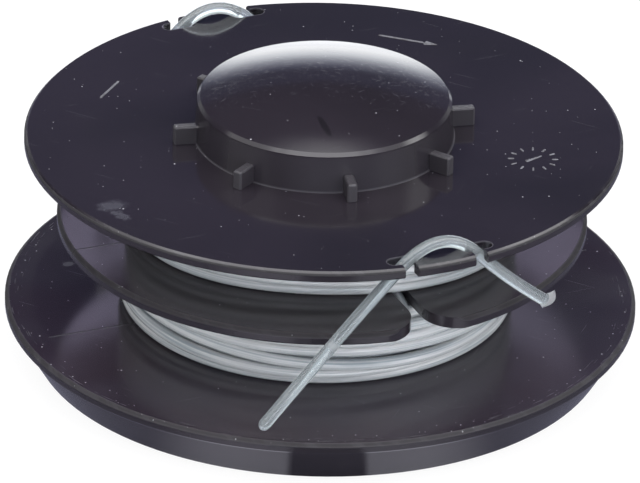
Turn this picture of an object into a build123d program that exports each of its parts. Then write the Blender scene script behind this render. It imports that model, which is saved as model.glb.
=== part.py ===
from build123d import *
import math
import os

# Trimmer line spool: a one-piece moulded reel with two line grooves, a domed bump button and a hollow
# underside, wound with two lengths of clear line. Millimetres, +Z up along the spin axis towards the button.
# The origin is on the axis at the foot of the skirt. Angles are counted about +Z from the -Y side.

# Lower flange with its lip and skirt
lower_flange_radius = 39.0
lower_flange_top = 6.5
lower_flange_thickness = 1.5
lip_height = 1.4
lip_overhang = 0.55
skirt_foot_radius = 35.4
skirt_wall = 1.6

# Divider between the two line grooves
lower_groove_height = 10.05
divider_radius = 32.65
divider_thickness = 1.45

# Top flange
upper_groove_height = 9.25
top_flange_radius = 36.75
top_flange_thickness = 1.4

# Broken edges of the flange rims, above and below, and how far the cutters run past the faces they cut
rim_chamfer = 0.4
under_chamfer = 0.25
cut_margin = 0.5

# Drum, the tube that carries the flanges and runs on into the button
drum_radius = 15.95
bore_radius = 14.4
drum_foot_height = 0.8
bore_top_below_button = 2.4

# Button
button_rim_radius = 15.6
button_rim_height = 5.0
button_chamfer = 0.35
dome_rise = 2.4
dome_wall = 1.7
spring_seat_radius = 4.5
spring_seat_bore = 2.9
spring_seat_length = 2.0

# Index lugs around the button, and their partners under the lower flange, half a pitch further round
lug_count = 8
lug_first_angle = 11.2
lug_radius = 18.75
lug_thickness = 1.25
lug_height = 2.4
lug_chamfer = 0.2
lug_root_depth = 0.9

# Line notches in the top flange: a narrow mouth at the rim opens into a wider pocket on each side of a tab
tab_angle = 24.6
notch_mouth_width = 1.7
notch_mouth_offset = 4.6
notch_pocket_width = 1.85
notch_pocket_inner = 2.5
notch_pocket_outer = 6.85
notch_pocket_distance = 34.1

# Anchor slot in the divider, flared at the rim
anchor_slot_width = 1.9
anchor_slot_flare = 4.6
anchor_slot_land = 1.2

# Line and windings
line_diameter = 1.5
winding_play = 0.1
upper_winding_radius = 23.4
lower_winding_radius = 24.1
turn_unevenness = 0.28
turn_ridge_depth = 0.42

# Route of a line end, in the upright plane across its two notches: sideways along the chord, then height above
# the top flange
line_end_route = [
    (-22.85, -19.1),
    (0.05, 4.05),
    (9.9, -5.85),
    (14.95, -9.6),
]
arc_share = 0.45

# Heights that follow from the sizes above
lip_bottom = lower_flange_top - lip_height
divider_bottom = lower_flange_top + lower_groove_height
divider_top = divider_bottom + divider_thickness
top_flange_bottom = divider_top + upper_groove_height
top_flange_top = top_flange_bottom + top_flange_thickness
button_rim = top_flange_top + button_rim_height
dome_top = button_rim + dome_rise
bore_top = button_rim - bore_top_below_button
ceiling_top = dome_top - dome_wall
plate_underside = lower_flange_top - lower_flange_thickness


def across(angle):
    """Plane standing on the axis whose x runs sideways and whose y runs outwards at the given angle."""
    turn = math.radians(angle)
    sideways = (math.cos(turn), math.sin(turn), 0)
    return Plane(origin=(0, 0, 0), x_dir=sideways, z_dir=(0, 0, -1))


def near(face, radius, height):
    """Corner of a half section that lies nearest to a radius and a height."""
    return min(face.vertices(), key=lambda v: math.hypot(v.X - radius, v.Z - height))


def eased(face, corners, size):
    """Half section with the named corners chamfered."""
    return chamfer([near(face, radius, height) for radius, height in corners], size)


def half_section():
    """Half section of the moulding, from the foot of the skirt up the outside and down the inside."""
    skirt_top_radius = lower_flange_radius - lip_overhang
    wall_run = math.hypot(skirt_top_radius - skirt_foot_radius, lip_bottom)
    wall_across = skirt_wall * wall_run / lip_bottom
    skirt_slope = (skirt_top_radius - skirt_foot_radius) / lip_bottom
    outside = [
        (skirt_foot_radius - wall_across, 0),
        (skirt_foot_radius, 0),
        (skirt_top_radius, lip_bottom),
        (lower_flange_radius, lip_bottom),
        (lower_flange_radius, lower_flange_top),
        (drum_radius, lower_flange_top),
        (drum_radius, divider_bottom),
        (divider_radius, divider_bottom),
        (divider_radius, divider_top),
        (drum_radius, divider_top),
        (drum_radius, top_flange_bottom),
        (top_flange_radius, top_flange_bottom),
        (top_flange_radius, top_flange_top),
        (drum_radius, top_flange_top),
        (button_rim_radius, button_rim),
    ]
    inside = [
        (bore_radius, bore_top),
        (bore_radius, drum_foot_height),
        (drum_radius, drum_foot_height),
        (drum_radius, plate_underside),
        (skirt_foot_radius - wall_across + skirt_slope * plate_underside, plate_underside),
        (skirt_foot_radius - wall_across, 0),
    ]
    dome_radius = (button_rim_radius**2 + dome_rise**2) / (2 * dome_rise)
    ceiling_rise = ceiling_top - bore_top
    ceiling_radius = (bore_radius**2 + ceiling_rise**2) / (2 * ceiling_rise)
    with BuildSketch(Plane.XZ) as section:
        with BuildLine():
            Polyline(*outside)
            RadiusArc(outside[-1], (0, dome_top), -dome_radius)
            Line((0, dome_top), (0, ceiling_top))
            RadiusArc((0, ceiling_top), inside[0], ceiling_radius)
            Polyline(*inside)
        make_face()
    face = section.sketch.faces()[0]
    face = eased(face, [
        (lower_flange_radius, lower_flange_top),
        (divider_radius, divider_top),
        (top_flange_radius, top_flange_top),
    ], rim_chamfer)
    face = eased(face, [
        (skirt_foot_radius, 0),
        (lower_flange_radius, lip_bottom),
        (divider_radius, divider_bottom),
        (top_flange_radius, top_flange_bottom),
    ], under_chamfer)
    return eased(face, [(button_rim_radius, button_rim)], button_chamfer)


def lug_ring(base, up, first_angle):
    """Ring of radial lugs on the drum that stand on a face at the given height, upwards or downwards."""
    length = lug_radius - drum_radius + lug_root_depth
    middle = lug_radius - length / 2
    blade = Box(length, lug_thickness, lug_height, align=(Align.CENTER, Align.CENTER, Align.MIN))
    outer_edges = blade.edges().filter_by(Axis.Z).group_by(Axis.X)[-1]
    top_edges = blade.edges().group_by(Axis.Z)[-1].sort_by(Axis.X)[1:]
    blade = chamfer(outer_edges + top_edges, lug_chamfer)
    if not up:
        blade = mirror(blade, Plane.XY)
    ring = []
    for number in range(lug_count):
        angle = first_angle - 90 + number * 360 / lug_count
        ring.append(Rot(0, 0, angle) * Pos(middle, 0, base) * blade)
    return ring


def notch_cut(angle):
    """Cutter for one pair of line notches: two pockets with their mouths, through the top flange."""
    reach = top_flange_radius - notch_pocket_distance + cut_margin
    pocket_length = notch_pocket_outer - notch_pocket_inner
    pocket_middle = (notch_pocket_outer + notch_pocket_inner) / 2
    with BuildSketch(across(angle)) as pair:
        with Locations((pocket_middle, notch_pocket_distance), (-pocket_middle, notch_pocket_distance)):
            SlotOverall(pocket_length, notch_pocket_width)
        mouth_middle = notch_pocket_distance + reach / 2
        with Locations((notch_mouth_offset, mouth_middle), (-notch_mouth_offset, mouth_middle)):
            Rectangle(notch_mouth_width, reach)
    lift = Pos(0, 0, top_flange_bottom - cut_margin)
    return lift * extrude(pair.sketch, -(top_flange_thickness + 2 * cut_margin))


def anchor_cut(angle):
    """Cutter for the divider's slot: parallel sides that flare in two arcs which run out along the rim."""
    half = anchor_slot_width / 2
    corner = half + anchor_slot_flare
    rim_at_corner = math.sqrt(divider_radius**2 - corner**2)
    flare_start = rim_at_corner - anchor_slot_flare
    inner_end = drum_radius + anchor_slot_land + half
    past_rim = divider_radius + cut_margin
    with BuildSketch(across(angle)) as slot:
        with BuildLine():
            Polyline((-corner, rim_at_corner), (-corner, past_rim), (corner, past_rim), (corner, rim_at_corner))
            RadiusArc((corner, rim_at_corner), (half, flare_start), -anchor_slot_flare)
            Line((half, flare_start), (half, inner_end))
            RadiusArc((half, inner_end), (-half, inner_end), half)
            Line((-half, inner_end), (-half, flare_start))
            RadiusArc((-half, flare_start), (-corner, rim_at_corner), -anchor_slot_flare)
        make_face()
    lift = Pos(0, 0, divider_bottom - cut_margin)
    return lift * extrude(slot.sketch, -(divider_thickness + 2 * cut_margin))


def spool_body():
    """The moulding: turned section, lugs above and below, spring seat, notches and anchor slot."""
    body = revolve(half_section(), Axis.Z)
    half_pitch = 180 / lug_count
    body += lug_ring(top_flange_top, True, lug_first_angle)
    body += lug_ring(plate_underside, False, lug_first_angle + half_pitch)
    seat_bottom = ceiling_top - spring_seat_length
    seat = Cylinder(spring_seat_radius, spring_seat_length + dome_wall / 2)
    seat -= Cylinder(spring_seat_bore, spring_seat_length + dome_wall / 2)
    body += Pos(0, 0, seat_bottom + (spring_seat_length + dome_wall / 2) / 2) * seat
    body -= notch_cut(tab_angle)
    body -= notch_cut(tab_angle + 180)
    body -= anchor_cut(tab_angle)
    return body


def winding(bottom, height, outer_radius):
    """Turns of line on the drum: a ring whose outside is ridged, one ridge for each turn."""
    turns = int(height / line_diameter)
    pitch = height / turns
    inner = drum_radius + winding_play
    outline = [(inner, bottom + height), (inner, bottom), (outer_radius, bottom)]
    for turn in range(turns):
        low = bottom + turn * pitch
        crest = outer_radius + turn_ridge_depth - turn_unevenness * (turn % 2)
        outline += [(crest, low + pitch / 2), (outer_radius, low + pitch)]
    with BuildSketch(Plane.XZ) as section:
        with BuildLine():
            Polyline(*outline, close=True)
        make_face()
    return revolve(section.sketch, Axis.Z)


def line_end(angle):
    """Strand through one pair of notches: straight runs joined by the largest tangent arcs they allow."""
    upright = across(angle)
    points = []
    for sideways, height in line_end_route:
        foot = upright.from_local_coords((sideways, notch_pocket_distance, 0))
        points.append(Vector(foot.X, foot.Y, top_flange_top + height))
    runs = [b - a for a, b in zip(points, points[1:])]
    radii = []
    for before, after in zip(runs, runs[1:]):
        half_turn = math.radians(before.get_angle(after)) / 2
        radii.append(arc_share * min(before.length, after.length) / math.tan(half_turn))
    path = FilletPolyline(*points, radius=radii)
    strand = sweep(Plane(path @ 0, z_dir=path % 0) * Circle(line_diameter / 2), path)
    section_area = math.pi * line_diameter**2 / 4
    print("line end radii", [round(radius, 1) for radius in radii], "length", round(path.length, 2))
    print("line end volume", round(strand.volume, 2), "section times length", round(section_area * path.length, 2))
    return strand


os.makedirs("parts", exist_ok=True)
nodes = {
    "spool_body": spool_body(),
    "upper_line_winding": winding(divider_top, upper_groove_height, upper_winding_radius),
    "lower_line_winding": winding(lower_flange_top, lower_groove_height, lower_winding_radius),
    "front_line_end": line_end(tab_angle),
    "rear_line_end": line_end(tab_angle + 180),
}
for name, solid in nodes.items():
    export_step(solid, f"parts/{name}.step")
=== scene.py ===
import math

import bpy
import numpy as np
from mathutils import Matrix, Vector


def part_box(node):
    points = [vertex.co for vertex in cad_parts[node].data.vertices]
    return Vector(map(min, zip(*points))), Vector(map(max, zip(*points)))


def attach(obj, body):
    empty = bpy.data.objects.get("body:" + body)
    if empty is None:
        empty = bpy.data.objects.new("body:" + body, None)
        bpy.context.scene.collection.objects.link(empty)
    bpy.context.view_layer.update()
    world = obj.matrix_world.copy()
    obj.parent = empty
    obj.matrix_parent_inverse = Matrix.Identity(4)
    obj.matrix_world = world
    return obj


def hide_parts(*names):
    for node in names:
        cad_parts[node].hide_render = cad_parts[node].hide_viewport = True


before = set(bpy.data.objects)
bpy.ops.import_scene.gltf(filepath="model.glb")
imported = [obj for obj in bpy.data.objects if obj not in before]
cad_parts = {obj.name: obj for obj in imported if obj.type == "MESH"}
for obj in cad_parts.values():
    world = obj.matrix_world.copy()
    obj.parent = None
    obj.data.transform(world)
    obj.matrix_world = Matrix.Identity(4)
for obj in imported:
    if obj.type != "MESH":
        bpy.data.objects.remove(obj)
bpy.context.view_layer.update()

MM = 0.001

# Sizes and places on the spool, as in its solids
LINE_DIAMETER = 1.5 * MM
LINE_RADIUS = LINE_DIAMETER / 2
TAB_ANGLE = math.radians(24.6)
STRAND_DISTANCE = 34.1 * MM
POCKET_MIDDLE = 4.675 * MM
POCKET_STRAIGHT = 1.25 * MM
POCKET_RADIUS = 0.925 * MM
TOP_FLANGE_THICKNESS = 1.4 * MM
TOP_FLANGE_RADIUS = 36.75 * MM
DIVIDER_RADIUS = 32.65 * MM
LOWER_FLANGE_RADIUS = 39.0 * MM
DRUM_RADIUS = 15.95 * MM
BUTTON_RADIUS = 15.6 * MM
BUTTON_RIM_HEIGHT = 5.0 * MM
LUG_RADIUS = 18.75 * MM
LUG_HEIGHT = 2.4 * MM

# Heights read from the frame, and those that follow from them
DIVIDER_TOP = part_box("upper_line_winding")[0].z
TOP_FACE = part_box("upper_line_winding")[1].z + TOP_FLANGE_THICKNESS
LOWER_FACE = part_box("lower_line_winding")[0].z
LUG_TOP = TOP_FACE + LUG_HEIGHT
BUTTON_RIM = TOP_FACE + BUTTON_RIM_HEIGHT

# Camera of the photograph: focal length and centre in pixels of a picture 640 wide and 483 high
PICTURE_WIDTH, PICTURE_HEIGHT = 640, 483
FOCAL_PIXELS = 9552.0
CENTRE_PIXEL = (321.5, 239.2)
CAMERA_DISTANCE = 1.178
CAMERA_ELEVATION = math.radians(27.54)
CAMERA_ROLL = math.radians(1.29)
CAMERA_TARGET = Vector((0, 0, 14 * MM))
CAMERA_NEAR, CAMERA_FAR = 0.05, 50
SENSOR_WIDTH = 36.0


def photo_camera():
    """Camera on the -Y side at the photograph's elevation, turned a little about its own line of sight."""
    back = Vector((0, -math.cos(CAMERA_ELEVATION), math.sin(CAMERA_ELEVATION)))
    up = Vector((0, math.sin(CAMERA_ELEVATION), math.cos(CAMERA_ELEVATION)))
    right = Vector((1, 0, 0))
    rolled_right = right * math.cos(CAMERA_ROLL) + up * math.sin(CAMERA_ROLL)
    rolled_up = up * math.cos(CAMERA_ROLL) - right * math.sin(CAMERA_ROLL)
    lens = bpy.data.cameras.new("photo_camera")
    lens.sensor_width = SENSOR_WIDTH
    lens.lens = FOCAL_PIXELS * SENSOR_WIDTH / PICTURE_WIDTH
    lens.shift_x = (PICTURE_WIDTH / 2 - CENTRE_PIXEL[0]) / PICTURE_WIDTH
    lens.shift_y = (CENTRE_PIXEL[1] - PICTURE_HEIGHT / 2) / PICTURE_WIDTH
    lens.clip_start, lens.clip_end = CAMERA_NEAR, CAMERA_FAR
    camera = bpy.data.objects.new("photo_camera", lens)
    turn = Matrix((rolled_right, rolled_up, back)).transposed()
    camera.matrix_world = Matrix.Translation(CAMERA_TARGET + back * CAMERA_DISTANCE) @ turn.to_4x4()
    bpy.context.scene.collection.objects.link(camera)
    bpy.context.scene.camera = camera


# Node helpers

MIX_FIRST, MIX_SECOND, MIX_RESULT = 6, 7, 2


def empty_tree(owner):
    """Cleared node tree of a material or world."""
    owner.use_nodes = True
    owner.node_tree.nodes.clear()
    return owner.node_tree


def feed(tree, socket, value):
    """Joins a socket to another node's output, or sets its own value."""
    if isinstance(value, bpy.types.NodeSocket):
        tree.links.new(value, socket)
    else:
        socket.default_value = value


def add(tree, kind, settings=None, sockets=None):
    """New node with its settings and input sockets; sockets are given by name or by number."""
    made = tree.nodes.new(kind)
    for name, value in (settings or {}).items():
        setattr(made, name, value)
    for name, value in (sockets or {}).items():
        feed(tree, made.inputs[name], value)
    return made


def calc(tree, operation, *values):
    """Output of a Math node."""
    return add(tree, "ShaderNodeMath", {"operation": operation}, dict(enumerate(values))).outputs[0]


def vector_calc(tree, operation, *vectors):
    """Vector that a Vector Math node puts out."""
    return add(tree, "ShaderNodeVectorMath", {"operation": operation}, dict(enumerate(vectors))).outputs[0]


def both(tree, *masks):
    """Product of masks."""
    result = masks[0]
    for mask in masks[1:]:
        result = calc(tree, "MULTIPLY", result, mask)
    return result


def either(tree, *masks):
    """Largest of masks."""
    result = masks[0]
    for mask in masks[1:]:
        result = calc(tree, "MAXIMUM", result, mask)
    return result


def more_by(tree, value, mask, amount):
    """A value, plus an amount where a mask is 1."""
    return calc(tree, "ADD", value, calc(tree, "MULTIPLY", mask, amount))


def between(tree, value, low, high):
    """1 where a value is over low and under high."""
    return both(tree, calc(tree, "GREATER_THAN", value, low), calc(tree, "LESS_THAN", value, high))


def off(tree, value, middle):
    """How far a value is from a middle."""
    return calc(tree, "ABSOLUTE", calc(tree, "SUBTRACT", value, middle))


def distance(tree, first, second):
    """Root of the sum of two squares."""
    return calc(tree, "SQRT", calc(tree, "ADD", both(tree, first, first), both(tree, second, second)))


def ramp(tree, value, low, high, bottom=0.0, top=1.0):
    """Smooth step of a value from bottom at low to top at high."""
    sockets = {"Value": value, "From Min": low, "From Max": high, "To Min": bottom, "To Max": top}
    return add(tree, "ShaderNodeMapRange", {"interpolation_type": "SMOOTHSTEP"}, sockets).outputs[0]


def noise(tree, where, scale, detail=2.0, distortion=0.0):
    """Value of a noise texture."""
    sockets = {"Vector": where, "Scale": scale, "Detail": detail, "Distortion": distortion}
    return add(tree, "ShaderNodeTexNoise", None, sockets).outputs[0]


def axes(tree, vector):
    """The three numbers of a vector."""
    return add(tree, "ShaderNodeSeparateXYZ", None, {0: vector}).outputs


def joined(tree, x, y, z=0.0):
    """Vector of three numbers."""
    return add(tree, "ShaderNodeCombineXYZ", None, {0: x, 1: y, 2: z}).outputs[0]


def turned(tree, vector, angle, middle=(0, 0, 0)):
    """Vector turned by an angle about an upright line through a middle."""
    sockets = {"Vector": vector, "Center": middle, "Angle": angle}
    return add(tree, "ShaderNodeVectorRotate", {"rotation_type": "Z_AXIS"}, sockets).outputs[0]


def blend_colours(tree, share, first, second):
    """Mix of two colours by a share from 0 to 1."""
    sockets = {0: share, MIX_FIRST: first, MIX_SECOND: second}
    return add(tree, "ShaderNodeMix", {"data_type": "RGBA"}, sockets).outputs[MIX_RESULT]


def blend_shaders(tree, share, first, second):
    """Mix of two shader nodes by a share from 0 to 1."""
    return add(tree, "ShaderNodeMixShader", None, {0: share, 1: first.outputs[0], 2: second.outputs[0]})


def show(tree, end, shader):
    """Joins a shader node to a new output node."""
    tree.links.new(shader.outputs[0], tree.nodes.new(end).inputs["Surface"])


# Shared effects: node groups that put out one mask

SPECK_LEAST_SIZE = 0.3
SPECK_EDGE = (1.15, 0.75)
HAIRLINE_SOFTNESS = 0.05
RIM_BAND_EDGE = (1.0, 0.3)
RAGGED_SCALE, RAGGED_DETAIL = 1400.0, 3.0
NOISE_MIDDLE = 0.5


def effect_group(name, vectors, floats):
    """Empty shader node group with named inputs and one float output, Mask; returns it with its two ends."""
    group = bpy.data.node_groups.new(name, "ShaderNodeTree")
    for socket in vectors:
        group.interface.new_socket(name=socket, in_out="INPUT", socket_type="NodeSocketVector")
    for socket in floats:
        group.interface.new_socket(name=socket, in_out="INPUT", socket_type="NodeSocketFloat")
    group.interface.new_socket(name="Mask", in_out="OUTPUT", socket_type="NodeSocketFloat")
    return group, group.nodes.new("NodeGroupInput").outputs, group.nodes.new("NodeGroupOutput").inputs["Mask"]


def place(tree, group, **sockets):
    """Group node in a material, with its values; returns its mask."""
    return add(tree, "ShaderNodeGroup", {"node_tree": group}, sockets).outputs[0]


def specks_group():
    """Dust: in some cells of a flat Voronoi pattern, a round spot about the cell's point, sized by its colour."""
    group, given, mask = effect_group("dust_specks", ["Place"], ["Cells", "Share", "Size"])
    cells = add(group, "ShaderNodeTexVoronoi", {"voronoi_dimensions": "2D"},
                {"Vector": given["Place"], "Scale": given["Cells"]})
    tone = add(group, "ShaderNodeSeparateColor", None, {0: cells.outputs["Color"]})
    chosen = calc(group, "LESS_THAN", tone.outputs[0], given["Share"])
    radius = calc(group, "MULTIPLY", given["Size"], calc(group, "ADD", tone.outputs[1], SPECK_LEAST_SIZE))
    inside = ramp(group, calc(group, "DIVIDE", cells.outputs["Distance"], radius), *SPECK_EDGE)
    feed(group, mask, both(group, chosen, inside))
    return group


def hairlines_group():
    """Fine scratches: flat noise drawn out along one direction, kept where it is near its top."""
    group, given, mask = effect_group("hairlines", ["Place"], ["Turn", "Across", "Along", "Keep"])
    along, across, _ = axes(group, turned(group, given["Place"], given["Turn"]))
    drawn = joined(group, calc(group, "MULTIPLY", along, given["Along"]),
                   calc(group, "MULTIPLY", across, given["Across"]))
    full = calc(group, "ADD", given["Keep"], HAIRLINE_SOFTNESS)
    feed(group, mask, ramp(group, noise(group, drawn, 1.0, 1.0), given["Keep"], full))
    return group


def rim_group():
    """Band along a circular edge: 1 at the given radius and height, falling to 0 at a distance of one width."""
    group, given, mask = effect_group("rim_band", [], ["Radius", "Height", "Rim", "Level", "Width"])
    away = distance(group, calc(group, "SUBTRACT", given["Radius"], given["Rim"]),
                    calc(group, "SUBTRACT", given["Height"], given["Level"]))
    feed(group, mask, ramp(group, calc(group, "DIVIDE", away, given["Width"]), *RIM_BAND_EDGE))
    return group


def patch_group():
    """Ragged patch: 1 inside an oval of a length and a width, turned about its middle, with a noisy outline."""
    group, given, mask = effect_group(
        "ragged_patch", ["Place", "Middle"], ["Turn", "Length", "Width", "Ragged", "Soft"])
    upright = turned(group, given["Place"], given["Turn"], given["Middle"])
    along, across, _ = axes(group, vector_calc(group, "SUBTRACT", upright, given["Middle"]))
    along = calc(group, "DIVIDE", along, given["Length"])
    across = calc(group, "DIVIDE", across, given["Width"])
    away = calc(group, "ADD", both(group, along, along), both(group, across, across))
    bumps = calc(group, "SUBTRACT", noise(group, given["Place"], RAGGED_SCALE, RAGGED_DETAIL), NOISE_MIDDLE)
    outside, inside = calc(group, "ADD", 1.0, given["Soft"]), calc(group, "SUBTRACT", 1.0, given["Soft"])
    feed(group, mask, ramp(group, more_by(group, away, bumps, given["Ragged"]), outside, inside))
    return group


SPECKS = specks_group()
HAIRLINES = hairlines_group()
RIM = rim_group()
PATCH = patch_group()

# Black plastic

BLACK_PLASTIC = (0.0190, 0.0158, 0.0208, 1)
DEEP_PLASTIC = (0.0138, 0.0119, 0.0152, 1)
# Lighter, bluer black of the lower flange's face: a finish with haze, and painted sheen in its colour
HAZE_AND_SHEEN_PLASTIC = (0.024, 0.023, 0.034, 1)
WARM_PLASTIC = (0.0256, 0.0153, 0.0234, 1)
# Near black of the parting line and the wipe mark, also laid on the satin rims as painted shade
MARK_AND_SHADE_BLACK = (0.009, 0.008, 0.010, 1)
DUST_GREY = (0.52, 0.52, 0.55, 1)
# Light grey of scuffs and scratches, also used for painted highlights: notch pocket edges, button's foot, parting
# line
SCUFF_AND_HIGHLIGHT_GREY = (0.075, 0.072, 0.080, 1)
PALE_SMEAR_AND_SPOT = (0.085, 0.085, 0.105, 1)
PLASTIC_IOR = 1.54

# Circular edges: radius and height
TOP_RIM = (TOP_FLANGE_RADIUS, TOP_FACE)
DIVIDER_RIM = (DIVIDER_RADIUS, DIVIDER_TOP)
LOWER_RIM = (LOWER_FLANGE_RADIUS, LOWER_FACE)
# The button's foot circle carries a painted highlight: a thin light band where its edge would catch the light
BUTTON_FOOT = (DRUM_RADIUS, TOP_FACE)
# The satin rims' width also bounds the painted shade laid on them
WORN_WIDTH, SATIN_AND_SHADE_WIDTH, FOOT_HIGHLIGHT_WIDTH = 0.6 * MM, 0.64 * MM, 0.24 * MM

# Margins that tell one face from the next, and pairs where a band starts and where it is full
SKIN, THIN_SKIN = 0.1 * MM, 0.05 * MM
FACING_UP = (0.55, 0.85)
GROOVES_TOP = TOP_FACE - 0.7 * MM
LOWER_FACE_TOP = LOWER_FACE + 0.3 * MM
DOME_FOOT = BUTTON_RIM - 0.2 * MM
TOP_EDGE_DEPTH = 0.5 * MM
# Where the painted shade on the lower half of the top flange's edge starts and where it is full
TOP_EDGE_SHADE = (TOP_FACE - 0.16 * MM, TOP_FACE - 0.30 * MM)
LUG_TOP_BAND = (LUG_TOP - 0.25 * MM, LUG_TOP - 0.05 * MM)
LUG_END_BAND = (LUG_RADIUS - 0.3 * MM, LUG_RADIUS - 0.1 * MM)
WALL_INSIDE = BUTTON_RADIUS - 0.3 * MM
WALL_FROM = (TOP_FACE + 0.1 * MM, TOP_FACE + 0.2 * MM)
WALL_TO = (BUTTON_RIM - 0.4 * MM, BUTTON_RIM - 0.7 * MM)
# Band widths of the painted highlight at the notch pocket edges
POCKET_EDGE = (0.17 * MM, 0.06 * MM)
POCKET_TOP = (0.25 * MM, 0.1 * MM)

# Mould parting line: its direction, its reach, and the dark line and painted highlight across it
PARTING_ANGLE = math.radians(21.7)
PARTING_REACH = 35.6 * MM
PARTING_LINE = (0.12 * MM, 0.04 * MM)
PARTING_HIGHLIGHT_PLACE = -0.16 * MM
PARTING_HIGHLIGHT = (0.1 * MM, 0.02 * MM)
PARTING_STEP = (-0.05 * MM, 0.05 * MM)

# Specks: cells to the metre, share of cells with a speck, and a speck's size against its cell
LARGE_SPECKS = (330.0, 0.09, 0.026)
SMALL_SPECKS = (900.0, 0.055, 0.042)
RIM_SPECKS = (700.0, 0.36, 0.056)
DUSTY_RIM = 36.4 * MM

# Hairlines: turn, how fine across and along, and how near the noise's top they are kept
RIM_NICKS = (0.0, 7000.0, 500.0, 0.56)
LONG_SCRATCHES = [(0.5, 9000.0, 90.0, 0.755), (1.9, 9000.0, 90.0, 0.77), (2.7, 9000.0, 90.0, 0.762)]
DOME_SCRATCHES = [(0.2, 6500.0, 420.0, 0.685), (1.1, 6500.0, 420.0, 0.685), (2.4, 6500.0, 420.0, 0.685)]
RIM_SCUFFS = (0.0, 4200.0, 260.0, 0.64)
DOME_SCRATCHED_FROM, DOME_SCRATCHED_TO = (-7 * MM, -3 * MM), (9 * MM, 5 * MM)
SCUFFED_RIM = (35.6 * MM, 38.2 * MM)

# Patches of wear, and a pale spot: middle in plan, turn, half length and half width in millimetres, how ragged and
# how soft
WIPE_MARK = [((0.1, -10.6), -68, 2.1, 0.42, 1.1, 0.3)]
TOP_SMEARS = [((-25.4, -20.6), 20, 1.7, 1.2, 2.4, 0.85), ((-24.4, -22.9), -50, 1.6, 0.7, 4.0, 0.8)]
# A pale spot on the lower flange
LOWER_PALE_SPOT = [((-31.4, 6.2), 30, 0.75, 0.6, 0.4, 0.8)]

# Clouds: scale, detail and distortion of a noise, then where it starts and where it is full
SMEARED = ((55.0, 4.0, 0.6), (0.45, 0.72))
DEEPENED = ((26.0, 3.0, 0.4), (0.36, 0.66))
# Clouds of the lower flange's haze and painted sheen
HAZE_AND_SHEEN = ((42.0, 4.0, 0.8), (0.3, 0.62))
RIPPLE_SCALE = 420.0
LUG_GRAIN_SCALE = 5200.0

# What each mask of the moulding does: share of a colour laid on in this order, roughness added, height in millimetres
MOULDING_COLOURS = [
    # The lower face's clouds lay on a lighter, bluer black: partly painted sheen
    # The satin rims' mask lays near black on them: painted shade
    ("groove_faces", 0.7, WARM_PLASTIC), ("haze_and_sheen", 0.4, HAZE_AND_SHEEN_PLASTIC), ("satin_and_shade", 0.85, MARK_AND_SHADE_BLACK),
    ("worn", 0.22, SCUFF_AND_HIGHLIGHT_GREY), ("wall", 0.1, SCUFF_AND_HIGHLIGHT_GREY), ("lugs", 0.1, SCUFF_AND_HIGHLIGHT_GREY),
    # The notch pocket edge band is a painted highlight
    ("lug_tops", 0.16, SCUFF_AND_HIGHLIGHT_GREY), ("lug_ends", 0.3, SCUFF_AND_HIGHLIGHT_GREY), ("pocket_highlights", 0.8, SCUFF_AND_HIGHLIGHT_GREY),
    # The button's foot band is a painted highlight
    ("foot", 0.75, SCUFF_AND_HIGHLIGHT_GREY), ("scratched", 0.4, SCUFF_AND_HIGHLIGHT_GREY), ("pale", 0.35, PALE_SMEAR_AND_SPOT),
    # The parting line's light edge is a painted highlight
    ("parting_highlight", 0.4, SCUFF_AND_HIGHLIGHT_GREY), ("parting_line", 0.9, MARK_AND_SHADE_BLACK), ("wiped", 0.8, MARK_AND_SHADE_BLACK),
    ("dust", 0.85, DUST_GREY)]
POLISHED_ROUGHNESS = 0.10
MOULDING_ROUGHNESS = [
    ("grooves", 0.06), ("dome", 0.01), ("smeared", 0.05), ("worn", 0.06), ("satin_and_shade", 0.7), ("wall", 0.12),
    ("lugs", 0.3), ("scratched", 0.1), ("haze_and_sheen", 0.04), ("pale", 0.15), ("behind_parting", -0.04),
    ("parting_line", 0.4), ("dust", 0.5)]
MOULDING_RELIEF = [("ripple", 0.004), ("scratched", -0.002), ("parting_line", -0.006), ("lug_grain", 0.12)]


def new_material(name):
    """Material with an empty tree, its Principled shader and its texture coordinates."""
    material = bpy.data.materials.new(name)
    tree = empty_tree(material)
    shader = tree.nodes.new("ShaderNodeBsdfPrincipled")
    show(tree, "ShaderNodeOutputMaterial", shader)
    return material, tree, shader, tree.nodes.new("ShaderNodeTexCoord").outputs


def raise_surface(tree, shader, height):
    """Bump by a height in metres."""
    bump = add(tree, "ShaderNodeBump", None, {"Strength": 1.0, "Distance": 1.0, "Height": height})
    feed(tree, shader.inputs["Normal"], bump.outputs[0])


class SpoolPlace:
    """Where a point of the moulding is: its plan, height, radius, run around the axis and whether it faces up."""

    def __init__(self, tree, coordinates):
        x, y, self.height = axes(tree, coordinates["Object"])
        self.solid = coordinates["Object"]
        self.plan = joined(tree, x, y)
        self.ahead = y
        self.radius = distance(tree, x, y)
        self.run = joined(tree, calc(tree, "MULTIPLY", calc(tree, "ARCTAN2", y, x), self.radius),
                          calc(tree, "ADD", self.radius, self.height))
        self.faces_up = ramp(tree, axes(tree, coordinates["Normal"])[2], *FACING_UP)
        self.in_grooves = calc(tree, "LESS_THAN", self.height, GROOVES_TOP)
        self.on_dome = both(tree, calc(tree, "GREATER_THAN", self.height, DOME_FOOT),
                            calc(tree, "LESS_THAN", self.radius, BUTTON_RADIUS))


def rim_band(tree, at, circle, width):
    """Band along one circular edge of the moulding."""
    return place(tree, RIM, Radius=at.radius, Height=at.height, Rim=circle[0], Level=circle[1], Width=width)


def hairlines(tree, where, turn, across, along, keep):
    """Fine scratches, from one row of their values."""
    return place(tree, HAIRLINES, Place=where, Turn=turn, Across=across, Along=along, Keep=keep)


def specks(tree, at, cells, share, size):
    """Dust specks, from one row of their values."""
    return place(tree, SPECKS, Place=at.plan, Cells=cells, Share=share, Size=size)


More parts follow.
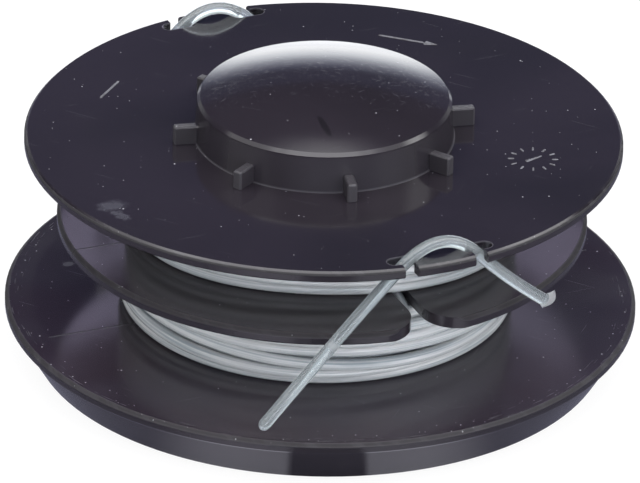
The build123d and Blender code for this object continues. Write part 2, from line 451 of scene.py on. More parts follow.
def clouds(tree, where, grain, edge):
    """Soft clouds of noise, from one row of their values."""
    return ramp(tree, noise(tree, where, *grain), *edge)


def patches(tree, at, rows):
    """Ragged patches of wear from a list of their places and sizes."""
    return either(tree, *[place(tree, PATCH, Place=at.plan, Middle=(middle[0] * MM, middle[1] * MM, 0),
                                Turn=math.radians(-turn), Length=length * MM, Width=width * MM, Ragged=ragged,
                                Soft=soft)
                          for middle, turn, length, width, ragged, soft in rows])


def worn_rims(tree, at):
    """Thin band along the three flange rims, broken up by noise drawn out along them."""
    bands = [rim_band(tree, at, circle, WORN_WIDTH) for circle in (TOP_RIM, DIVIDER_RIM, LOWER_RIM)]
    return both(tree, either(tree, *bands), hairlines(tree, at.run, *RIM_NICKS))


def satin_and_shade_rims(tree, at):
    """Satin edges of the divider and the lower flange, and the lower half of the top flange's edge. Their colour is
    darkened to near black: painted shade.
    """
    bands = [rim_band(tree, at, circle, SATIN_AND_SHADE_WIDTH) for circle in (DIVIDER_RIM, LOWER_RIM)]
    under_edge = both(tree, calc(tree, "GREATER_THAN", at.radius, TOP_FLANGE_RADIUS - TOP_EDGE_DEPTH),
                      ramp(tree, at.height, *TOP_EDGE_SHADE),
                      calc(tree, "SUBTRACT", 1.0, calc(tree, "LESS_THAN", at.height, TOP_FACE - TOP_EDGE_DEPTH)))
    return either(tree, *bands, under_edge)


def index_lugs(tree, at):
    """The index lugs: all their faces, their top faces alone, and their outer ends."""
    whole = both(tree, between(tree, at.radius, DRUM_RADIUS + THIN_SKIN, LUG_RADIUS + SKIN),
                 calc(tree, "GREATER_THAN", at.height, TOP_FACE + SKIN))
    return (whole, both(tree, whole, ramp(tree, at.height, *LUG_TOP_BAND)),
            both(tree, whole, ramp(tree, at.radius, *LUG_END_BAND)))


def button_wall(tree, at):
    """The button's satin wall, from the top face up to the rim."""
    return both(tree, between(tree, at.radius, WALL_INSIDE, DRUM_RADIUS + THIN_SKIN),
                ramp(tree, at.height, *WALL_FROM), ramp(tree, at.height, *WALL_TO))


def mould_parting(tree, at):
    """Line across the groove faces where the mould halves met: a dark line, a painted highlight along one side of it,
    and the side behind.
    """
    beside = axes(tree, turned(tree, at.plan, -PARTING_ANGLE))[1]
    inside = both(tree, at.in_grooves, calc(tree, "LESS_THAN", at.radius, PARTING_REACH))
    return (both(tree, inside, ramp(tree, calc(tree, "ABSOLUTE", beside), *PARTING_LINE)),
            both(tree, inside, ramp(tree, off(tree, beside, PARTING_HIGHLIGHT_PLACE), *PARTING_HIGHLIGHT)),
            both(tree, inside, ramp(tree, beside, *PARTING_STEP)))


def settled_dust(tree, at):
    """Specks on the faces that look up, in two sizes, and closer together along the lower flange's rim."""
    near_rim = both(tree, calc(tree, "GREATER_THAN", at.radius, DUSTY_RIM), at.in_grooves)
    return both(tree, at.faces_up, either(tree, specks(tree, at, *LARGE_SPECKS), specks(tree, at, *SMALL_SPECKS),
                                          both(tree, specks(tree, at, *RIM_SPECKS), near_rim)))


def scratches(tree, at):
    """Hairlines in three directions all over, more of them across the middle of the dome, and scuffs along the
    lower flange's rim."""
    everywhere = [hairlines(tree, at.plan, *row) for row in LONG_SCRATCHES]
    rubbed = either(tree, *[hairlines(tree, at.plan, *row) for row in DOME_SCRATCHES])
    across_dome = both(tree, at.on_dome, ramp(tree, at.ahead, *DOME_SCRATCHED_FROM),
                       ramp(tree, at.ahead, *DOME_SCRATCHED_TO))
    near_rim = both(tree, at.in_grooves, ramp(tree, at.radius, *SCUFFED_RIM))
    marks = either(tree, *everywhere, both(tree, rubbed, across_dome),
                   both(tree, hairlines(tree, at.run, *RIM_SCUFFS), near_rim))
    return both(tree, at.faces_up, marks)


def pocket_edge_highlights(tree, at):
    """Painted highlight along the edge of each line notch's pocket, where an edge would catch the light: a thin band
    along the outline of a slot with round ends, in the frame of the notches' chord, the same for both pairs and both
    sides."""
    sideways, outward, _ = axes(tree, turned(tree, at.plan, -TAB_ANGLE))
    off_middle = off(tree, calc(tree, "ABSOLUTE", sideways), POCKET_MIDDLE)
    past_end = calc(tree, "MAXIMUM", calc(tree, "SUBTRACT", off_middle, POCKET_STRAIGHT), 0.0)
    across = calc(tree, "SUBTRACT", calc(tree, "ABSOLUTE", outward), STRAND_DISTANCE)
    off_edge = off(tree, distance(tree, past_end, across), POCKET_RADIUS)
    return both(tree, ramp(tree, off_edge, *POCKET_EDGE), ramp(tree, off(tree, at.height, TOP_FACE), *POCKET_TOP))


def pale_smears_and_spot(tree, at, on_lower_face):
    """Pale smears on the top face, and a pale spot on the lower flange."""
    on_top = both(tree, patches(tree, at, TOP_SMEARS), calc(tree, "SUBTRACT", 1.0, at.in_grooves))
    on_lower = both(tree, patches(tree, at, LOWER_PALE_SPOT), on_lower_face)
    return both(tree, at.faces_up, either(tree, on_top, on_lower))


def moulded_black():
    """Black moulded plastic: polished dome, satin wall and faces, worn rims, satin rims darkened by painted shade,
    rough lugs, a mould parting line across the grooves with a painted highlight along it, painted highlights at the
    notch pocket edges and the button's foot, a lower face with haze and painted sheen, hairlines, smears, a pale spot
    and dust. Each has a mask, and the tables above say what it does."""
    material, tree, shader, coordinates = new_material("moulded_black")
    at = SpoolPlace(tree, coordinates)
    on_lower_face = calc(tree, "LESS_THAN", at.height, LOWER_FACE_TOP)
    masks = {"grooves": at.in_grooves, "dome": at.on_dome,
             "groove_faces": both(tree, at.in_grooves, at.faces_up),
             # The satin rims' mask carries painted shade
             "worn": worn_rims(tree, at), "satin_and_shade": satin_and_shade_rims(tree, at),
             # The button's foot band is a painted highlight
             "wall": button_wall(tree, at), "foot": rim_band(tree, at, BUTTON_FOOT, FOOT_HIGHLIGHT_WIDTH),
             # The notch pocket edge band is a painted highlight
             "pocket_highlights": pocket_edge_highlights(tree, at), "scratched": scratches(tree, at), "dust": settled_dust(tree, at),
             "wiped": both(tree, patches(tree, at, WIPE_MARK), at.on_dome),
             "pale": pale_smears_and_spot(tree, at, on_lower_face),
             "smeared": clouds(tree, at.solid, *SMEARED),
             # Lower flange's face: haze, and a lighter, bluer colour that is painted sheen
             "haze_and_sheen": both(tree, on_lower_face, at.faces_up, clouds(tree, at.solid, *HAZE_AND_SHEEN)),
             "ripple": noise(tree, at.solid, RIPPLE_SCALE)}
    masks["lugs"], masks["lug_tops"], masks["lug_ends"] = index_lugs(tree, at)
    masks["lug_grain"] = both(tree, noise(tree, at.solid, LUG_GRAIN_SCALE), masks["lug_tops"])
    # The parting line's light edge is a painted highlight
    masks["parting_line"], masks["parting_highlight"], masks["behind_parting"] = mould_parting(tree, at)

    colour = blend_colours(tree, clouds(tree, at.solid, *DEEPENED), BLACK_PLASTIC, DEEP_PLASTIC)
    for name, share, finish in MOULDING_COLOURS:
        colour = blend_colours(tree, calc(tree, "MULTIPLY", masks[name], share), colour, finish)
    rough = POLISHED_ROUGHNESS
    for name, amount in MOULDING_ROUGHNESS:
        rough = more_by(tree, rough, masks[name], amount)
    height = 0.0
    for name, depth in MOULDING_RELIEF:
        height = more_by(tree, height, masks[name], depth * MM)
    feed(tree, shader.inputs["Base Color"], colour)
    feed(tree, shader.inputs["Roughness"], rough)
    raise_surface(tree, shader, height)
    shader.inputs["IOR"].default_value = PLASTIC_IOR
    return material


RIDGE_GREY = (0.13, 0.13, 0.145, 1)
RIDGE_STRETCHES = ((1300.0, 3.0), (0.36, 0.58))
RIDGE_ROUGHNESS, STRETCH_ROUGHNESS = 0.4, 0.2


def worn_ridge():
    """Moulded ridge, worn light grey in stretches."""
    material, tree, shader, coordinates = new_material("worn_ridge")
    stretches = clouds(tree, coordinates["Object"], *RIDGE_STRETCHES)
    feed(tree, shader.inputs["Base Color"], blend_colours(tree, stretches, SCUFF_AND_HIGHLIGHT_GREY, RIDGE_GREY))
    feed(tree, shader.inputs["Roughness"], more_by(tree, RIDGE_ROUGHNESS, stretches, STRETCH_ROUGHNESS))
    shader.inputs["IOR"].default_value = PLASTIC_IOR
    return material


# Nylon line

CLEAR_LINE = (0.95, 0.965, 0.96, 1)
TINTED_LINE = (0.84, 0.92, 0.935, 1)
DEEP_LINE = (0.52, 0.585, 0.61, 1)
FROSTED_LINE = (0.93, 0.95, 0.96, 1)
NYLON_IOR = 1.53
NYLON_SCATTER = 0.9 * MM

# Streaks and clouds in the line: how fine for each metre along it and for a turn round it
STREAKS = (34.0, 24.0)
CLOUDS = (70.0, 5.0)
DEEP_TONES = (0.84, 1.24)
STREAK_ROUGHNESS = 0.12
FROST_ROUGHNESS = 0.5
FROST_GRAIN_SCALE, FROST_GRAIN_HEIGHT = 9000.0, 0.12 * MM

# Finish of the line: clear colour, transmission, milkiness, roughness and height of its streaks
STRAND_FINISH = (TINTED_LINE, 0.86, 0.2, 0.17, 0.001 * MM)
WOUND_FINISH = (CLEAR_LINE, 0.34, 0.4, 0.05, 0.012 * MM)


def clear_line(name, clear, see_through, milky, satin, streak_height):
    """Clear nylon line: milky glassy core, long drawn streaks along the line, frosted where it is cut."""
    material, tree, shader, coordinates = new_material(name)
    along, around, _ = axes(tree, add(tree, "ShaderNodeUVMap", {"uv_map": "line_map"}).outputs[0])
    streaks, cloud = [noise(tree, joined(tree, calc(tree, "MULTIPLY", along, fine_along),
                                         calc(tree, "MULTIPLY", around, fine_around)), 1.0)
                      for fine_along, fine_around in (STREAKS, CLOUDS)]
    deep = ramp(tree, calc(tree, "ADD", streaks, cloud), *DEEP_TONES)
    frosted = add(tree, "ShaderNodeAttribute", {"attribute_name": "frost"}).outputs["Fac"]
    grain = both(tree, frosted, noise(tree, coordinates["Object"], FROST_GRAIN_SCALE))
    colour = blend_colours(tree, deep, clear, DEEP_LINE)
    feed(tree, shader.inputs["Base Color"], blend_colours(tree, frosted, colour, FROSTED_LINE))
    rough = more_by(tree, satin, streaks, STREAK_ROUGHNESS)
    feed(tree, shader.inputs["Roughness"], more_by(tree, rough, frosted, FROST_ROUGHNESS))
    height = calc(tree, "MULTIPLY", streaks, streak_height)
    raise_surface(tree, shader, more_by(tree, height, grain, FROST_GRAIN_HEIGHT))
    shader.inputs["IOR"].default_value = NYLON_IOR
    shader.inputs["Transmission Weight"].default_value = see_through
    shader.inputs["Subsurface Weight"].default_value = milky
    shader.inputs["Subsurface Radius"].default_value = (1.0, 1.0, 1.0)
    shader.inputs["Subsurface Scale"].default_value = NYLON_SCATTER
    return material


# Meshes


def around_circle(sides):
    """Angles of the points of one ring."""
    return np.linspace(0, 2 * np.pi, sides, endpoint=False)


def smooth(share):
    """Smooth step from 0 to 1 of a share, held outside that range."""
    held = np.clip(share, 0, 1)
    return held * held * (3 - 2 * held)


def rounded_off(share, least):
    """Height of a quarter circle over a share from 0 to 1 of its width, and at least the root of a small number."""
    return np.sqrt(np.clip(1 - (1 - np.clip(share, 0, 1)) ** 2, least, 1))


def distances(points):
    """Running length along a row of points."""
    steps = np.linalg.norm(np.diff(points, axis=0), axis=1)
    return np.concatenate([[0.0], np.cumsum(steps)])


def directions(points):
    """Unit direction of travel at each point of a row."""
    ahead = np.gradient(points, axis=0)
    return ahead / np.linalg.norm(ahead, axis=1)[:, None]


def tube_faces(rings, sides, first):
    """Quads between neighbouring rings of a tube, and a fan from a pole to each end ring. The tube's points start at
    number first, ring by ring, and its two poles come after them."""
    ring = np.arange(rings - 1)[:, None] * sides
    side = np.arange(sides)[None, :]
    after = (side + 1) % sides
    quads = np.stack([ring + side, ring + sides + side, ring + sides + after, ring + after], -1).reshape(-1, 4)
    last = (rings - 1) * sides
    start = np.stack([np.full(sides, rings * sides), side[0], after[0]], -1)
    finish = np.stack([np.full(sides, rings * sides + 1), last + after[0], last + side[0]], -1)
    return (quads + first).tolist() + (start + first).tolist() + (finish + first).tolist()


def tubes_piece(name, tubes, material):
    """One mesh of closed tubes that rides on the spool. A tube is its grid of points, rings by sides, and its frost,
    which is 1 on a cut end. The map line_map has the distance along the tube in metres and the share of the way
    round."""
    vertices, faces, lengths, turns, frosts = [], [], [], [], []
    first = 0
    for points, frost in tubes:
        rings, sides = points.shape[:2]
        middles = points.mean(1)
        along = distances(middles)
        faces += tube_faces(rings, sides, first)
        vertices += [points.reshape(-1, 3), middles[[0, -1]]]
        lengths += [np.repeat(along, sides), along[[0, -1]]]
        turns += [np.tile(np.arange(sides) / sides, rings), [0.5, 0.5]]
        frosts += [np.repeat(frost, sides), frost[[0, -1]]]
        first += rings * sides + 2
    mesh = bpy.data.meshes.new(name)
    mesh.from_pydata(np.concatenate(vertices).tolist(), [], faces)
    corner = np.empty(len(mesh.loops), np.int32)
    mesh.loops.foreach_get("vertex_index", corner)
    pairs = np.stack([np.concatenate(lengths)[corner], np.concatenate(turns)[corner]], -1)
    mesh.uv_layers.new(name="line_map").data.foreach_set("uv", pairs.astype(np.float32).ravel())
    frost_values = np.concatenate(frosts).astype(np.float32)
    mesh.attributes.new("frost", "FLOAT", "POINT").data.foreach_set("value", frost_values)
    mesh.polygons.foreach_set("use_smooth", np.ones(len(mesh.polygons), bool))
    mesh.update()
    piece = bpy.data.objects.new(name, mesh)
    piece.data.materials.append(material)
    bpy.context.scene.collection.objects.link(piece)
    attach(piece, "root")
    return piece


# Wound line: layers, how the turns step, swing and wander, and for each groove the outer turns' lean, their three
# drifts in millimetres and the angle at which the line starts
TURN_SIDES = 12
STEPS_PER_TURN = 128
LINE_LAYERS = 6
STEP_OUT_TURNS = 0.5
LAST_TURN = 0.9
RADIAL_SWING = 0.2 * MM
SWING_WAVES, SWING_BY_LEVEL = 1.31, 2.0
WANDERS = [(0.26 * MM, 2.37, 1.0), (0.2 * MM, 1.31, 0.0)]
LEAN_SHIFT = 0.15
UPPER_LAY = (0.16, (0.0, 0.0, -1.0), math.pi / 2)
LOWER_LAY = (0.2, (-0.3, -0.6, 0.0), math.pi / 2 + 0.7)


def line_tube(centre, up, aside):
    """Tube of the line's radius along a row of points: a circle carried on an upward and a sideways direction."""
    turn_round = around_circle(TURN_SIDES)
    return (centre[:, None] + LINE_RADIUS * (np.cos(turn_round)[None, :, None] * up[:, None]
                                             + np.sin(turn_round)[None, :, None] * aside),
            np.zeros(len(centre)))


def wound_line(name, node, lean, drift, start, material, more):
    """Line wound on the drum in layers. The angle runs on steadily, and the height goes up and down between the
    flanges, one sweep for each layer, then stays low for a last turn. The radius steps out at the end of each
    sweep. The outer turns lean, up on one side of the drum and down on the other, wander a little up and down out of
    step with each other, and drift in or out by three amounts: a plain one, one with the cosine of the angle and
    one with the sine of three times the angle. A circle of the line's radius is carried along on the outward and the
    cross direction. More tubes may join the piece."""
    low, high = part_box(node)
    room = (high.z - low.z) / 2 - LINE_RADIUS
    turns_each = round(2 * room / LINE_DIAMETER)
    turns = LINE_LAYERS * turns_each + LAST_TURN
    turn = np.linspace(0, turns, int(turns * STEPS_PER_TURN))
    angle = start + 2 * np.pi * turn
    sweep = np.minimum(turn / turns_each, LINE_LAYERS)
    level = 1 - 2 * np.abs(1 - sweep % 2)
    nearest = np.round(sweep)
    layer = nearest - 1 + smooth(0.5 + (sweep - nearest) * turns_each / STEP_OUT_TURNS)
    outness = np.clip(layer, 0, LINE_LAYERS - 1) / (LINE_LAYERS - 1)
    wander = sum(swing * np.sin(waves * angle + shift) for swing, waves, shift in WANDERS)
    level = level + (1 - level**2) * (lean * outness * np.sin(angle + LEAN_SHIFT * turn) + wander / room)
    level = np.clip(level, -1, 1)
    height = (low.z + high.z) / 2 + room * level
    innermost = DRUM_RADIUS + LINE_RADIUS + RADIAL_SWING
    outermost = high.x - LINE_RADIUS
    swing = RADIAL_SWING * np.sin(SWING_WAVES * angle + SWING_BY_LEVEL * level)
    drifted = (drift[0] + drift[1] * np.cos(angle) + drift[2] * np.sin(3 * angle)) * MM
    radius = innermost + (outermost - innermost + drifted) * outness + swing
    outward = np.stack([np.cos(angle), np.sin(angle), np.zeros(len(angle))], -1)
    centre = radius[:, None] * outward + np.stack([0 * height, 0 * height, height], -1)
    cross = np.cross(directions(centre), outward)
    piece = tubes_piece(name, [line_tube(centre, outward, -cross[:, None])] + more, material)
    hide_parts(node)


# Run of line in the anchor slot: its radius, its depth below the divider's top and its drop
CROSSING_FROM, CROSSING_TO = 18.4 * MM, 25.0 * MM
CROSSING_DEPTH = 0.95 * MM
CROSSING_DROP = 2.3 * MM
CROSSING_STEPS = 60


def crossing_line():
    """Short run of the line that lies in the divider's anchor slot. The radius runs evenly outward along the slot's
    middle, and the height keeps a set depth below the divider's top, then drops into the winding with the sixth
    power of the share."""
    share = np.linspace(0, 1, CROSSING_STEPS)
    way = np.array([math.sin(TAB_ANGLE), -math.cos(TAB_ANGLE), 0.0])
    aside = np.array([math.cos(TAB_ANGLE), math.sin(TAB_ANGLE), 0.0])
    radius = CROSSING_FROM + (CROSSING_TO - CROSSING_FROM) * share
    height = DIVIDER_TOP - CROSSING_DEPTH - CROSSING_DROP * share**6
    centre = radius[:, None] * way + np.stack([0 * height, 0 * height, height], -1)
    return line_tube(centre, np.cross(aside, directions(centre)), -aside)


# Route of a line end, across its two notches: sideways along the chord, then height above the top face. The
# second point is one more on the long straight run.
STRAND_ROUTE = np.array([(-23.1, -19.35), (-10.3, -5.98), (0.18, 3.97), (9.95, -6.1), (15.6, -10.2)]) * MM
STRAND_SIDES = 28
STRAND_STEPS = 260
ROUTE_STEPS = 40

# Its two ends, one rounded and one pinched by cutters, and the crease on its long run
TIP_STEPS = 14
ROUND_TIP = 0.9 * MM
ROUND_TIP_LEAST = 0.0004
PINCHED_TIP = 1.9 * MM
PINCH_FLARE = 0.8
PINCH_LIFT = 0.45
PINCH_CHISEL = 1.8
PINCH_ROUNDING = 1.3 * MM
PINCH_FROST_RATE, PINCH_FROST_FROM = 6, 0.5
CREASE_PLACE = 13.3 * MM
CREASE_WIDTH = 0.35 * MM
CREASE_FROST = 0.5


def spline_points(route):
    """Points along the smooth line, a NURBS spline, that has the route's points as its control points."""
    curve = bpy.data.curves.new("line_route", "CURVE")
    curve.dimensions = "3D"
    spline = curve.splines.new("NURBS")
    spline.points.add(len(route) - 1)
    spline.points.foreach_set("co", np.column_stack([route, np.ones(len(route))]).ravel())
    spline.order_u = 3
    spline.use_endpoint_u = True
    spline.resolution_u = ROUTE_STEPS
    holder = bpy.data.objects.new("line_route", curve)
    bpy.context.scene.collection.objects.link(holder)
    line = bpy.data.meshes.new_from_object(holder)
    points = np.empty(len(line.vertices) * 3)
    line.vertices.foreach_get("co", points)
    bpy.data.objects.remove(holder)
    bpy.data.curves.remove(curve)
    bpy.data.meshes.remove(line)
    return points.reshape(-1, 3)


def line_end(name, node, angle, material):
    """Free strand through one pair of notches. A circle is carried along the route's spline: near its first end it
    shrinks as a quarter circle does, and near its other end, where cutters pinched it, it flares while its outer
    side slopes back to a thin rounded edge. A crease shows as a frosted ring on the long run."""
    sideways = np.array([math.cos(angle), math.sin(angle), 0.0])
    outward = np.array([math.sin(angle), -math.cos(angle), 0.0])
    upright = np.array([0.0, 0.0, 1.0])
    route = (STRAND_ROUTE[:, :1] * sideways + STRAND_DISTANCE * outward
             + (TOP_FACE + STRAND_ROUTE[:, 1:]) * upright)
    line = spline_points(route)
    run = distances(line)
    length = run[-1]
    tip = np.linspace(0, 1, TIP_STEPS)
    stops = np.unique(np.concatenate([ROUND_TIP * tip**2, np.linspace(ROUND_TIP, length - PINCHED_TIP, STRAND_STEPS),
                                      length - PINCHED_TIP * (1 - tip)]))
    centre = np.stack([np.interp(stops, run, line[:, axis]) for axis in range(3)], -1)
    ahead = directions(centre)
    above = np.cross(ahead, outward)
    above = above * np.sign(above[:, 2:])
    full = rounded_off(stops / ROUND_TIP, ROUND_TIP_LEAST)[:, None, None]
    pinch = np.clip((stops - (length - PINCHED_TIP)) / PINCHED_TIP, 0, 1)[:, None, None]
    turn_round = around_circle(STRAND_SIDES)[None, :, None]
    depth = np.where(np.sin(turn_round) > 0, full * (1 - PINCH_CHISEL * pinch), full)
    points = (centre[:, None]
              + LINE_RADIUS * above[:, None] * (full * (1 + PINCH_FLARE * pinch) * np.cos(turn_round)
                                                + PINCH_LIFT * pinch)
              + LINE_RADIUS * outward * depth * np.sin(turn_round)
              - PINCH_ROUNDING * ahead[:, None] * pinch * np.cos(turn_round) ** 2)
    cut = np.clip(pinch[:, 0, 0] * PINCH_FROST_RATE - PINCH_FROST_FROM, 0, 1)
    crease = CREASE_FROST * np.exp(-((stops - CREASE_PLACE) / CREASE_WIDTH) ** 2)
    piece = tubes_piece(name, [(points[:, ::-1], np.maximum(cut, crease))], material)
    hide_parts(node)


# Raised marks on the top face: places in plan in millimetres
RIDGE_HALF_WIDTH = 0.16 * MM
RIDGE_HEIGHT = 0.10 * MM
RIDGE_END_LEAST = 0.01
RIDGE_SIDES = 10
RIDGE_STEPS = 24
ARROW_TAIL, ARROW_NECK, ARROW_TIP = (6.5, 27.5), (12.3, 25.6), (13.9, 25.07)
ARROW_NECK_HALF_WIDTH, ARROW_TIP_HALF_WIDTH = 0.62 * MM, 0.1 * RIDGE_HALF_WIDTH
DASH_ENDS = ((-27.7, 8.2), (-25.5, 13.05))
DIAL_MIDDLE = (25.6, -5.7)
DIAL_TICKS = 12
DIAL_TICK_FROM, DIAL_TICK_TO = 2.3, 3.1
TICK_HALF_WIDTH = 0.8 * RIDGE_HALF_WIDTH
POINTER_TAIL, POINTER_TIP = (-0.9, -0.7), (1.1, 0.9)
POINTER_TAIL_HALF_WIDTH, POINTER_TIP_HALF_WIDTH = 1.6 * RIDGE_HALF_WIDTH, 0.5 * RIDGE_HALF_WIDTH


def ridge(start, end, half_width_start, half_width_end):
    """Straight low ridge on the top face between two places in plan. An oval ring, half sunk in the face, is carried
    along it. Its width goes evenly from the first to the second and draws in at both ends."""
    share = np.linspace(0, 1, RIDGE_STEPS)
    ends = np.array([[*start, 0.0], [*end, 0.0]]) * MM
    path = ends[0] + share[:, None] * (ends[1] - ends[0]) + np.array([0, 0, TOP_FACE])
    length = np.linalg.norm(ends[1] - ends[0])
    way = (ends[1] - ends[0]) / length
    across = np.array([-way[1], way[0], 0.0])
    from_end = np.minimum(share, 1 - share) * length
    drawn_in = rounded_off(from_end / RIDGE_HALF_WIDTH, RIDGE_END_LEAST)
    width = (half_width_start + share * (half_width_end - half_width_start)) * drawn_in
    turn_round = around_circle(RIDGE_SIDES)[None, :, None]
    points = (path[:, None] + width[:, None, None] * across * np.cos(turn_round)
              + RIDGE_HEIGHT * drawn_in[:, None, None] * np.array([0, 0, 1.0]) * np.sin(turn_round))
    return points[:, ::-1], np.zeros(RIDGE_STEPS)


def raised_marks(material):
    """Winding direction arrow, a dash, and the mould's date dial: a ring of ticks with a pointer."""
    shaft = ridge(ARROW_TAIL, ARROW_NECK, RIDGE_HALF_WIDTH, RIDGE_HALF_WIDTH)
    head = ridge(ARROW_NECK, ARROW_TIP, ARROW_NECK_HALF_WIDTH, ARROW_TIP_HALF_WIDTH)
    tubes_piece("direction_arrow", [shaft, head], material)
    tubes_piece("start_dash", [ridge(*DASH_ENDS, RIDGE_HALF_WIDTH, RIDGE_HALF_WIDTH)], material)
    middle = np.array(DIAL_MIDDLE)
    ticks = []
    for angle in around_circle(DIAL_TICKS):
        way = np.array([math.cos(angle), math.sin(angle)])
        ticks.append(ridge(middle + DIAL_TICK_FROM * way, middle + DIAL_TICK_TO * way,
                           TICK_HALF_WIDTH, TICK_HALF_WIDTH))
    pointer = ridge(middle + np.array(POINTER_TAIL), middle + np.array(POINTER_TIP),
                    POINTER_TAIL_HALF_WIDTH, POINTER_TIP_HALF_WIDTH)
    tubes_piece("date_dial", ticks + [pointer], material)


# Studio surround: bright low down and dim above, by height above the horizon, with a wide soft light overhead and
# four soft lights at the sides, each with its aim, its spread and its strength
SURROUND_STRENGTH = 3.2
LOW_LIGHT = [(0.0, (0.96, 0.98, 1.0)), (0.05, (0.96, 0.98, 1.0)), (0.139, (0.80, 0.83, 0.88)),
             (0.225, (0.34, 0.36, 0.42)), (0.30, (0.08, 0.09, 0.135)), (0.35, (0.014, 0.016, 0.036)),
             (0.435, (0.022, 0.026, 0.053)), (0.462, (0.0134, 0.0156, 0.0396)), (0.488, (0.003, 0.003, 0.010))]
LOW_LIGHT_SIDE, LOW_LIGHT_FRONT = 0.14, 1.7
LOW_BACK_EDGE, LOW_FRONT_EDGE = (0.885, 0.93), (0.4, 0.9)
FRONT_AIM = (0.45, 0.893)
LEAST_LEVEL = 0.001
OVERHEAD_LIGHT = [(0.80, (0.0, 0.0, 0.0)), (0.829, (0.08, 0.08, 0.09)), (0.854, (0.42, 0.42, 0.43)),
                  (0.88, (0.84, 0.84, 0.85))]
OVERHEAD_WIDTH = 1 / 0.65
OVERHEAD_FRONT = 1.45
OVERHEAD_FRONT_EDGE = (-0.12, -0.42)
OVERHEAD_REACH = 0.55
SIDE_LIGHTS = [((0.77, 0.16, 0.62), 0.955, 1.1), ((-0.66, 0.22, 0.72), 0.955, 0.2),
               ((0.80, -0.26, 0.54), 0.90, 0.34), ((-0.80, -0.26, 0.54), 0.90, 0.42)]
SIDE_LIGHT_SOFT = 0.03
WHITE = (1, 1, 1, 1)


def colour_ramp(tree, value, stops):
    """Colour by a value, straight from stop to stop."""
    bands = add(tree, "ShaderNodeValToRGB", None, {0: value})
    elements = bands.color_ramp.elements
    while len(elements) < len(stops):
        elements.new(0.5)
    for element, (level, colour) in zip(elements, stops):
        element.position = level
        element.color = (*colour, 1)
    return bands.outputs[0]


def scaled(tree, colour, share):
    """Colour times a number."""
    return add(tree, "ShaderNodeVectorMath", {"operation": "SCALE"}, {0: colour, "Scale": share}).outputs[0]


def studio_surround():
    """World: a low band of light by height above the horizon, bright behind the spool, dim at the sides and strongest
    in front, a little to the right of the camera; a soft light overhead, wider than it is deep and strongest towards
    the front; and the side lights. It is plain white for the camera and for what is seen through the line."""
    world = bpy.data.worlds.new("studio")
    bpy.context.scene.world = world
    tree = empty_tree(world)
    way = tree.nodes.new("ShaderNodeTexCoord").outputs["Generated"]
    x, y, rise = axes(tree, way)
    reach = more_by(tree, calc(tree, "MAXIMUM", y, 0.0), calc(tree, "MINIMUM", y, 0.0), OVERHEAD_REACH)
    narrowed = joined(tree, calc(tree, "DIVIDE", x, OVERHEAD_WIDTH), reach, rise)
    overhead = axes(tree, vector_calc(tree, "NORMALIZE", narrowed))[2]
    level = calc(tree, "MAXIMUM", distance(tree, x, y), LEAST_LEVEL)
    rightward, backward = calc(tree, "DIVIDE", x, level), calc(tree, "DIVIDE", y, level)
    frontward = calc(tree, "SUBTRACT", calc(tree, "MULTIPLY", rightward, FRONT_AIM[0]),
                     calc(tree, "MULTIPLY", backward, FRONT_AIM[1]))
    around = calc(tree, "ADD", ramp(tree, backward, *LOW_BACK_EDGE, LOW_LIGHT_SIDE, 1.0),
                  ramp(tree, frontward, *LOW_FRONT_EDGE, 0.0, LOW_LIGHT_FRONT))
    forward = ramp(tree, y, *OVERHEAD_FRONT_EDGE, 1.0, OVERHEAD_FRONT)
    total = vector_calc(tree, "ADD", scaled(tree, colour_ramp(tree, rise, LOW_LIGHT), around),
                        scaled(tree, colour_ramp(tree, overhead, OVERHEAD_LIGHT), forward))
    for aim, spread, strength in SIDE_LIGHTS:
        facing = add(tree, "ShaderNodeVectorMath", {"operation": "DOT_PRODUCT"},
                     {0: way, 1: tuple(Vector(aim).normalized())}).outputs["Value"]
        total = vector_calc(tree, "ADD", total, ramp(tree, facing, spread, spread + SIDE_LIGHT_SOFT, 0.0, strength))
    light = add(tree, "ShaderNodeBackground", None, {0: total, 1: SURROUND_STRENGTH})
    white = add(tree, "ShaderNodeBackground", None, {0: WHITE, 1: 1.0})
    ray = tree.nodes.new("ShaderNodeLightPath").outputs
    seen = either(tree, ray["Is Camera Ray"], ray["Is Transmission Ray"])
    show(tree, "ShaderNodeOutputWorld", blend_shaders(tree, seen, light, white))


# Studio floor: its size, how white it looks, and how it glows in reflections. Pairs are where a zone starts and
# where it is full; those of the strip, the front and the far zone are sideways against the distance from the axis.
FLOOR_RADIUS, FLOOR_INNER_RADIUS = 4.0, 0.02
FLOOR_RINGS, FLOOR_SIDES = 20, 96
FLOOR_DROP = 0.05 * MM
FLOOR_WHITE = (0.86, 0.86, 0.87, 1)
FLOOR_SEEN_WHITE = 1.04
FLOOR_SEEN_SHARE = 0.88
FLOOR_GLOW_FRONT = (0.80, 0.80, 0.92, 1)
FLOOR_GLOW_SIDE = (0.20, 0.20, 0.27, 1)
FLOOR_GLOW_STRIP = (0.08, 0.08, 0.11, 1)
FLOOR_GLOW_SHEET = (8.6, 7.9, 11.2, 1)
FLOOR_GLOW_FAR = (2.6, 2.65, 2.75, 1)
STRIP_MIDDLE = 0.04
STRIP_EDGE = (0.155, 0.12)
FRONT_TO_SIDE = (0.3, 0.8)
FAR_FROM, FAR_SIDES = (100 * MM, 150 * MM), (0.52, 0.42)
SHEET_FROM, SHEET_TO, SHEET_SIDES = (26 * MM, 38 * MM), (100 * MM, 80 * MM), (40 * MM, 36 * MM)
SECOND_REFLECTION = 1.5
LEAST_AHEAD = 1 * MM


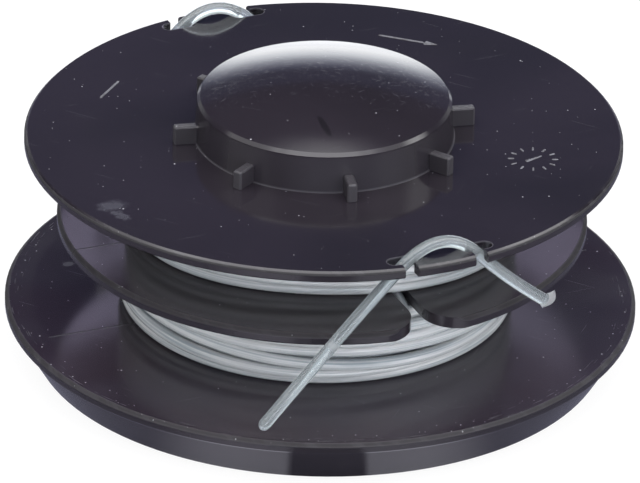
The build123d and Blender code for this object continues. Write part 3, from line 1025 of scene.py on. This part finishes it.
def floor_glow(tree, ray):
    """Colour of the floor in reflections: bright in front of the spool, less at the sides and least in a strip in
    the middle, and brighter far behind. A bright sheet behind the spool shows only in second reflections, between
    the flanges, where they mirror each other."""
    x, y, _ = axes(tree, tree.nodes.new("ShaderNodeTexCoord").outputs["Object"])
    aside = calc(tree, "ABSOLUTE", x)
    to_front = calc(tree, "MAXIMUM", calc(tree, "MULTIPLY", y, -1.0), LEAST_AHEAD)
    off_strip = off(tree, calc(tree, "DIVIDE", x, to_front), STRIP_MIDDLE)
    strip = both(tree, ramp(tree, off_strip, *STRIP_EDGE), calc(tree, "LESS_THAN", y, 0.0))
    to_back = calc(tree, "MAXIMUM", y, LEAST_AHEAD)
    far = both(tree, ramp(tree, y, *FAR_FROM), ramp(tree, calc(tree, "DIVIDE", aside, to_back), *FAR_SIDES))
    on_sheet = both(tree, ramp(tree, y, *SHEET_FROM), ramp(tree, y, *SHEET_TO), ramp(tree, aside, *SHEET_SIDES),
                    calc(tree, "GREATER_THAN", ray["Glossy Depth"], SECOND_REFLECTION))
    glow = blend_colours(tree, ramp(tree, off_strip, *FRONT_TO_SIDE), FLOOR_GLOW_FRONT, FLOOR_GLOW_SIDE)
    for mask, colour in ((strip, FLOOR_GLOW_STRIP), (far, FLOOR_GLOW_FAR), (on_sheet, FLOOR_GLOW_SHEET)):
        glow = blend_colours(tree, mask, glow, colour)
    return glow


def pale_floor():
    """Floor paper: it looks white, keeps a light shadow, and glows in reflections."""
    material = bpy.data.materials.new("pale_floor")
    tree = empty_tree(material)
    ray = tree.nodes.new("ShaderNodeLightPath").outputs
    paper = add(tree, "ShaderNodeBsdfDiffuse", None, {"Color": FLOOR_WHITE})
    white = add(tree, "ShaderNodeEmission", None, {"Color": WHITE, "Strength": FLOOR_SEEN_WHITE})
    mirrored = add(tree, "ShaderNodeEmission", None, {"Color": floor_glow(tree, ray), "Strength": 1.0})
    seen = both(tree, either(tree, ray["Is Camera Ray"], ray["Is Transmission Ray"]), FLOOR_SEEN_SHARE)
    floor = blend_shaders(tree, seen, paper, white)
    show(tree, "ShaderNodeOutputMaterial", blend_shaders(tree, ray["Is Glossy Ray"], floor, mirrored))
    return material


def studio_floor():
    """Pale round floor, a polar grid, just under the spool's foot."""
    rings = np.concatenate([[0.0], np.geomspace(FLOOR_INNER_RADIUS, FLOOR_RADIUS, FLOOR_RINGS)])
    angles = around_circle(FLOOR_SIDES)
    points = np.stack([rings[:, None] * np.cos(angles), rings[:, None] * np.sin(angles),
                       np.full((len(rings), FLOOR_SIDES), -FLOOR_DROP)], -1)
    ring = np.arange(len(rings) - 1)[:, None] * FLOOR_SIDES
    side = np.arange(FLOOR_SIDES)[None, :]
    after = (side + 1) % FLOOR_SIDES
    quads = np.stack([ring + side, ring + FLOOR_SIDES + side, ring + FLOOR_SIDES + after, ring + after], -1)
    mesh = bpy.data.meshes.new("studio_floor")
    mesh.from_pydata(points.reshape(-1, 3).tolist(), [], quads.reshape(-1, 4).tolist())
    floor = bpy.data.objects.new("studio_floor", mesh)
    bpy.context.scene.collection.objects.link(floor)
    floor.data.materials.append(pale_floor())


def dress(node, material):
    """Gives a node of the frame its finish."""
    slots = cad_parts[node].data.materials
    slots.clear()
    slots.append(material)


photo_camera()
studio_surround()
studio_floor()
strand_nylon = clear_line("clear_line", *STRAND_FINISH)
wound_nylon = clear_line("wound_clear_line", *WOUND_FINISH)
dress("spool_body", moulded_black())
line_end("front_strand", "front_line_end", TAB_ANGLE, strand_nylon)
line_end("rear_strand", "rear_line_end", TAB_ANGLE + math.pi, strand_nylon)
wound_line("upper_wound_line", "upper_line_winding", *UPPER_LAY, wound_nylon, [])
wound_line("lower_wound_line", "lower_line_winding", *LOWER_LAY, wound_nylon, [crossing_line()])
raised_marks(worn_ridge())

bpy.context.scene.view_settings.view_transform = "Standard"
